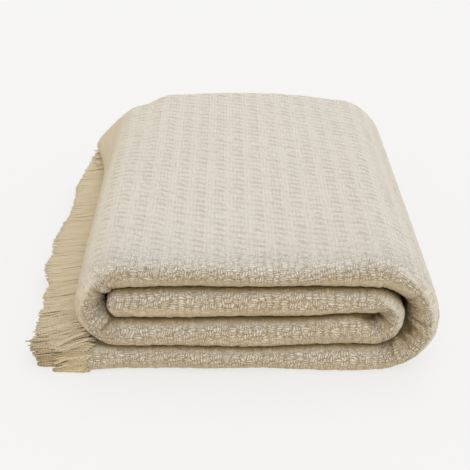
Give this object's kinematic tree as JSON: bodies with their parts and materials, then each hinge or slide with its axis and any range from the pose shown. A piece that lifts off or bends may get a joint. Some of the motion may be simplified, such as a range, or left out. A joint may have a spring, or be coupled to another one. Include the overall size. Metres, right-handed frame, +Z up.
{
  "type": "folded fringed throw blanket",
  "caption": "Thick cream woven cotton throw, folded and wound into a soft flat pile with rounded front folds and a fringe along one side.",
  "frame": {"origin": "bottom centre of the whole pile, fringe included, on the surface it lies on", "axes": "+Z up, +Y from the rounded front folds to the back, -X towards the fringe"},
  "size_m": [0.499, 0.614, 0.154],
  "materials": {
    "cloth": "matt ribbed weave of soft cream cotton",
    "fringe": "matt twisted cream cotton yarn"
  },
  "bodies": {
    "root": {"cloth": "cloth", "fringe": "fringe"}
  },
  "joints": []
}
